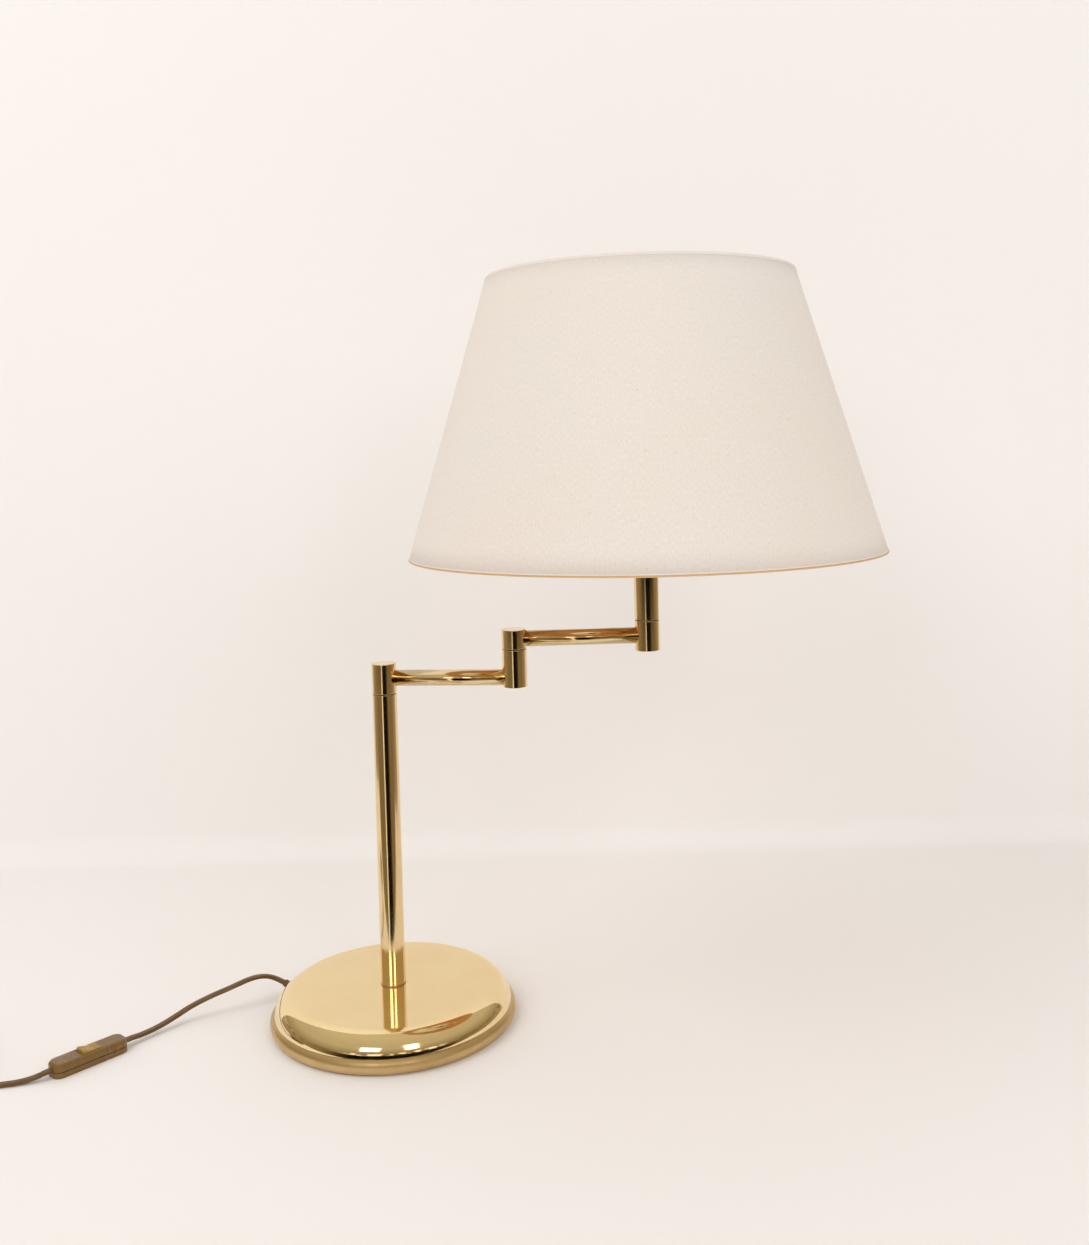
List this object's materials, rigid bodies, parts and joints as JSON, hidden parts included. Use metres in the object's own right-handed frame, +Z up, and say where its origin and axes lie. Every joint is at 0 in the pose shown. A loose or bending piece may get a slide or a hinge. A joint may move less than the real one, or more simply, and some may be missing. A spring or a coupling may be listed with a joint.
{
  "type": "swing arm table lamp",
  "caption": "Table lamp with a weighted round base, a post, two swinging arms, a turning stem with an empire shade, and a flat lead with a rocker switch.",
  "frame": {"origin": "centre of the base's underside, on the surface that the lamp stands on", "axes": "+Z up; +X towards where the arms reach out at rest; +Y to the back, where the lead leaves the base"},
  "size_m": [0.8107, 0.38, 0.602],
  "materials": {
    "polished_brass": "mirror polished and lacquered",
    "satin_brass": "satin, slightly tarnished",
    "zinc_steel": "zinc plated",
    "dark_steel": "blackened",
    "cast_iron": "as cast",
    "felt": "green felt",
    "nylon": "dark nylon",
    "brown_cord": "ribbed flat PVC cord",
    "brown_plastic": "glossy moulded",
    "gold_plastic": "glossy moulded",
    "contact_brass": "nickelled brass",
    "tie_fabric": "woven strap",
    "phenolic": "black thermoset",
    "porcelain": "glazed",
    "white_wire": "white epoxy",
    "shade_fabric": "slub cotton on a plastic lining",
    "aluminium": "bare",
    "opal_glass": "opal"
  },
  "bodies": {
    "base": {"felt_pad": "felt", "base_plate": "zinc_steel", "plate_screws": "zinc_steel", "base_band": "satin_brass", "base_weight": "cast_iron", "base_cover": "polished_brass", "base_nut": "zinc_steel", "base_nipple": "zinc_steel", "foot_washer": "satin_brass", "post_bushes": "satin_brass", "post_tube": "polished_brass", "post_pivot": "zinc_steel", "post_washer": "nylon", "post_nut": "zinc_steel", "cord_relief": "brown_plastic", "base_wire": "brown_cord", "switch_base": "brown_plastic", "switch_cover": "brown_plastic", "cord_lead": "brown_cord", "cord_tail": "brown_cord", "cord_coil": "brown_cord", "cord_end": "brown_cord", "cord_tie": "tie_fabric", "plug_body": "brown_plastic", "plug_pins": "contact_brass"},
    "lower_arm": {"head_barrel": "polished_brass", "head_cap": "polished_brass", "lower_arm_tube": "polished_brass", "elbow_barrel": "polished_brass", "elbow_floor_cap": "polished_brass", "elbow_pivot": "zinc_steel", "elbow_set_screw": "dark_steel", "elbow_washer": "nylon", "elbow_nut": "zinc_steel", "lower_arm_wire": "brown_cord"},
    "upper_arm": {"hinge_barrel": "polished_brass", "hinge_cap": "polished_brass", "upper_arm_tube": "polished_brass", "end_barrel": "polished_brass", "end_floor_cap": "polished_brass", "end_pivot": "zinc_steel", "end_washer": "nylon", "end_nut": "zinc_steel", "upper_arm_wire": "brown_cord"},
    "stem": {"stem_bush": "satin_brass", "stem_tube": "polished_brass", "stem_head": "satin_brass", "stem_nipple": "zinc_steel", "holder_cup": "phenolic", "holder_sleeve": "phenolic", "holder_insert": "porcelain", "holder_contacts": "contact_brass", "shade_nut": "phenolic", "shade_carrier": "white_wire", "shade_ring_low": "white_wire", "shade_ring_top": "white_wire", "shade_panel": "shade_fabric", "bulb_cap": "aluminium", "bulb_glass": "opal_glass"},
    "rocker": {"switch_rocker": "gold_plastic"}
  },
  "joints": [
    {"name": "lower_arm_swing", "type": "hinge", "parent": "base", "child": "lower_arm", "pos_m": [0, 0, 0.2696], "axis": [0, 0, 1], "range_deg": [-164, 176]},
    {"name": "upper_arm_swing", "type": "hinge", "parent": "lower_arm", "child": "upper_arm", "pos_m": [0.10741, -0.01129, 0.3055], "axis": [0, 0, 1], "range_deg": [-177, 163]},
    {"name": "stem_turn", "type": "hinge", "parent": "upper_arm", "child": "stem", "pos_m": [0.21539, -0.0094, 0.326], "axis": [0, 0, 1], "range_deg": [-170, 170]},
    {"name": "switch_rock", "type": "hinge", "parent": "base", "child": "rocker", "pos_m": [-0.229, -0.063, 0.0066], "axis": [-0.7431, 0.6691, 0], "range_deg": [-12, 0]}
  ]
}
